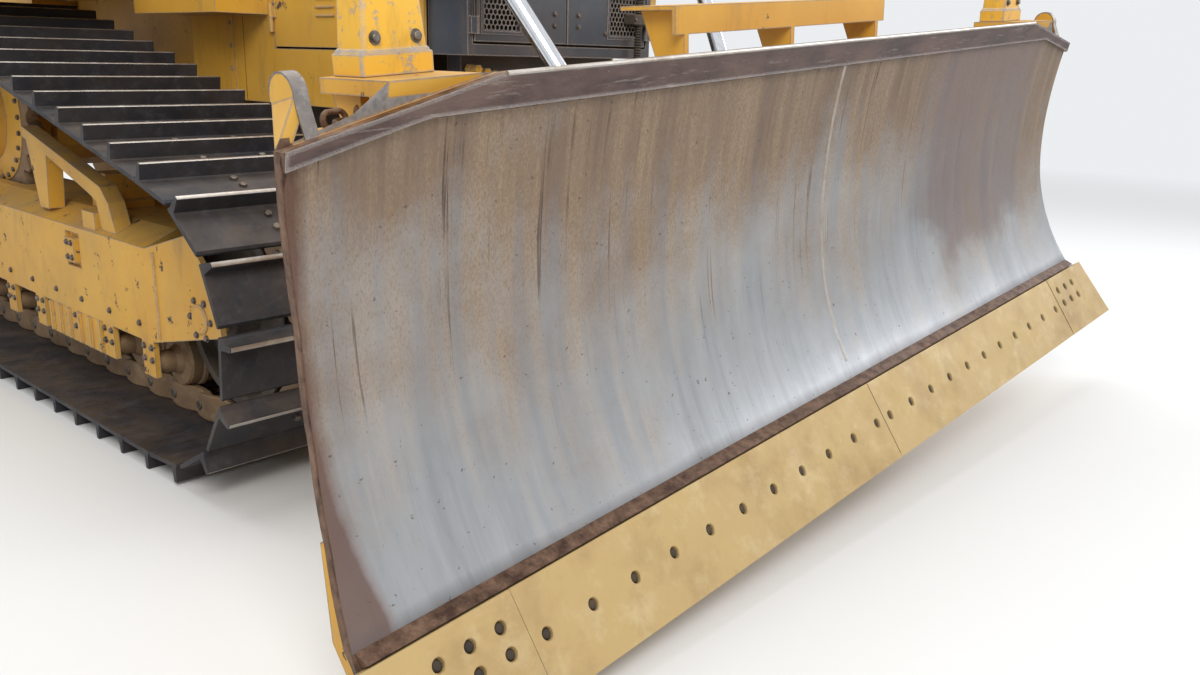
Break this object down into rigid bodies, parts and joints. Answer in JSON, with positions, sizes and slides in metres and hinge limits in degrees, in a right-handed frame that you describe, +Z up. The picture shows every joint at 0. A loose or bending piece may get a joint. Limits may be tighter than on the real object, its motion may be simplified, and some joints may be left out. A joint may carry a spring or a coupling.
{
  "type": "bulldozer",
  "caption": "Crawler bulldozer with wide track shoes, a raised sprocket, an enclosed cab and a broad curved blade that lifts, angles and tilts.",
  "frame": {"origin": "on the floor at the centre of the machine's outline; it stands on its tracks, with the blade's right corner held 35 mm above the floor", "axes": "-Y forward, towards the blade; +X to the machine's left; +Z up"},
  "size_m": [4.1559, 5.9957, 3.18],
  "materials": {
    "yellow_paint": "worn, chipped and dusty",
    "dark_paint": "satin",
    "black_paint": "satin",
    "blade_steel": "scoured, streaked with rust",
    "edge_steel": "dusty, scoured",
    "shoe_steel": "worn dark steel with bright edges",
    "chrome": "polished",
    "glass": "clear",
    "seat_cloth": "woven",
    "plastic": "moulded"
  },
  "bodies": {
    "chassis": {"main_frame": "yellow_paint", "engine_block": "black_paint", "radiator_guard": "dark_paint", "hood": "yellow_paint", "fender_left": "yellow_paint", "fender_right": "yellow_paint", "cab_shell": "black_paint", "cab_roof": "yellow_paint", "cab_glass": "glass", "operator_seat": "seat_cloth", "console": "plastic", "exhaust_stack": "black_paint", "precleaner": "plastic", "lamps": "plastic", "fuel_tank": "yellow_paint", "drawbar": "yellow_paint", "track_left": "shoe_steel", "track_right": "shoe_steel", "track_frame_left": "yellow_paint", "track_frame_right": "yellow_paint", "sprockets": "shoe_steel", "idlers": "shoe_steel", "rollers": "yellow_paint", "equalizer_bar": "yellow_paint", "lift_brackets": "yellow_paint"},
    "c_frame": {"c_frame": "yellow_paint"},
    "blade_yoke": {"blade_yoke": "yellow_paint"},
    "blade": {"moldboard": "blade_steel", "cutting_edges": "edge_steel", "end_bits": "edge_steel", "blade_hub": "yellow_paint", "blade_guard": "yellow_paint", "mast_mounts": "yellow_paint"},
    "tilt_barrel": {"tilt_barrel": "yellow_paint"},
    "tilt_rod": {"tilt_rod": "chrome"},
    "lift_barrel_left": {"lift_barrel_left": "yellow_paint"},
    "lift_rod_left": {"lift_rod_left": "chrome"},
    "angle_barrel_left": {"angle_barrel_left": "yellow_paint"},
    "angle_rod_left": {"angle_rod_left": "chrome"},
    "grille_door_left": {"grille_door_left": "dark_paint"},
    "engine_door_left": {"engine_door_left": "yellow_paint"},
    "cab_door_left": {"cab_door_left": "black_paint"},
    "lift_barrel_right": {"lift_barrel_right": "yellow_paint"},
    "lift_rod_right": {"lift_rod_right": "chrome"},
    "angle_barrel_right": {"angle_barrel_right": "yellow_paint"},
    "angle_rod_right": {"angle_rod_right": "chrome"},
    "grille_door_right": {"grille_door_right": "dark_paint"},
    "engine_door_right": {"engine_door_right": "yellow_paint"},
    "cab_door_right": {"cab_door_right": "black_paint"}
  },
  "joints": [
    {"name": "lift", "type": "hinge", "parent": "chassis", "child": "c_frame", "pos_m": [0, 0.283, 0.5], "axis": [-1, 0, 0], "range_deg": [-8.5, 20]},
    {"name": "angle", "type": "hinge", "parent": "c_frame", "child": "blade_yoke", "pos_m": [0, -2.352, 0.51], "axis": [0, 0, 1], "range_deg": [-25, 25]},
    {"name": "tilt", "type": "hinge", "parent": "blade_yoke", "child": "blade", "pos_m": [0, -2.352, 0.51], "axis": [0, -1, 0], "range_deg": [-11.2, 2.8]},
    {"name": "lift_barrel_left_swing", "type": "hinge", "parent": "chassis", "child": "lift_barrel_left", "pos_m": [0.625, -1.553, 1.885], "axis": [-0.8404, 0.5329, -0.0989], "range_deg": [-10.21, 24.01]},
    {"name": "lift_rod_left_stroke", "type": "slide", "parent": "lift_barrel_left", "child": "lift_rod_left", "axis": [-0.2417, -0.5317, -0.8117], "range_m": [-0.76496, 0.32511]},
    {"name": "lift_barrel_right_swing", "type": "hinge", "parent": "chassis", "child": "lift_barrel_right", "pos_m": [-0.625, -1.553, 1.885], "axis": [-0.8404, -0.5329, 0.0989], "range_deg": [-10.21, 24.01]},
    {"name": "lift_rod_right_stroke", "type": "slide", "parent": "lift_barrel_right", "child": "lift_rod_right", "axis": [0.2417, -0.5317, -0.8117], "range_m": [-0.76496, 0.32511]},
    {"name": "angle_barrel_left_swing", "type": "hinge", "parent": "c_frame", "child": "angle_barrel_left", "pos_m": [0.64, -1.247, 0.51], "axis": [0, 0, 1], "range_deg": [-1.88, 1.88]},
    {"name": "angle_rod_left_stroke", "type": "slide", "parent": "angle_barrel_left", "child": "angle_rod_left", "axis": [-0.0753, -0.9972, 0], "range_m": [-0.23303, 0.23303]},
    {"name": "angle_barrel_right_swing", "type": "hinge", "parent": "c_frame", "child": "angle_barrel_right", "pos_m": [-0.64, -1.247, 0.51], "axis": [0, 0, 1], "range_deg": [-1.88, 1.88]},
    {"name": "angle_rod_right_stroke", "type": "slide", "parent": "angle_barrel_right", "child": "angle_rod_right", "axis": [0.0753, -0.9972, 0], "range_m": [-0.23303, 0.23303]},
    {"name": "tilt_barrel_swing", "type": "hinge", "parent": "blade_yoke", "child": "tilt_barrel", "pos_m": [0.06, -2.5493, 0.905], "axis": [0, -1, 0], "range_deg": [-11.05, 2.76]},
    {"name": "tilt_rod_stroke", "type": "slide", "parent": "tilt_barrel", "child": "tilt_rod", "axis": [-0.9994, 0, 0.0357], "range_m": [-0.07815, 0.01954]},
    {"name": "grille_door_left_hinge", "type": "hinge", "parent": "chassis", "child": "grille_door_left", "pos_m": [0.466, -1.462, 1.72], "axis": [0, 0, 1], "range_deg": [0, 65]},
    {"name": "engine_door_left_hinge", "type": "hinge", "parent": "chassis", "child": "engine_door_left", "pos_m": [0.537, -0.202, 1.7], "axis": [0, 0, 1], "range_deg": [0, 90]},
    {"name": "cab_door_left_hinge", "type": "hinge", "parent": "chassis", "child": "cab_door_left", "pos_m": [0.814, 1.694, 2.3], "axis": [0, 0, 1], "range_deg": [0, 100]},
    {"name": "grille_door_right_hinge", "type": "hinge", "parent": "chassis", "child": "grille_door_right", "pos_m": [-0.466, -1.462, 1.72], "axis": [0, 0, -1], "range_deg": [0, 65]},
    {"name": "engine_door_right_hinge", "type": "hinge", "parent": "chassis", "child": "engine_door_right", "pos_m": [-0.537, -0.202, 1.7], "axis": [0, 0, -1], "range_deg": [0, 90]},
    {"name": "cab_door_right_hinge", "type": "hinge", "parent": "chassis", "child": "cab_door_right", "pos_m": [-0.814, 1.694, 2.3], "axis": [0, 0, -1], "range_deg": [0, 100]}
  ],
  "couplings": [
    {"joint": "lift_barrel_left_swing", "follows": "lift", "ratio": 1.1982},
    {"joint": "lift_rod_left_stroke", "follows": "lift", "m_per_rad": -2.1871},
    {"joint": "lift_barrel_right_swing", "follows": "lift", "ratio": 1.1982},
    {"joint": "lift_rod_right_stroke", "follows": "lift", "m_per_rad": -2.1871},
    {"joint": "angle_barrel_left_swing", "follows": "angle", "ratio": -0.075},
    {"joint": "angle_rod_left_stroke", "follows": "angle", "m_per_rad": -0.533},
    {"joint": "angle_barrel_right_swing", "follows": "angle", "ratio": -0.075},
    {"joint": "angle_rod_right_stroke", "follows": "angle", "m_per_rad": 0.533},
    {"joint": "tilt_barrel_swing", "follows": "tilt", "ratio": 0.985},
    {"joint": "tilt_rod_stroke", "follows": "tilt", "m_per_rad": 0.399}
  ]
}
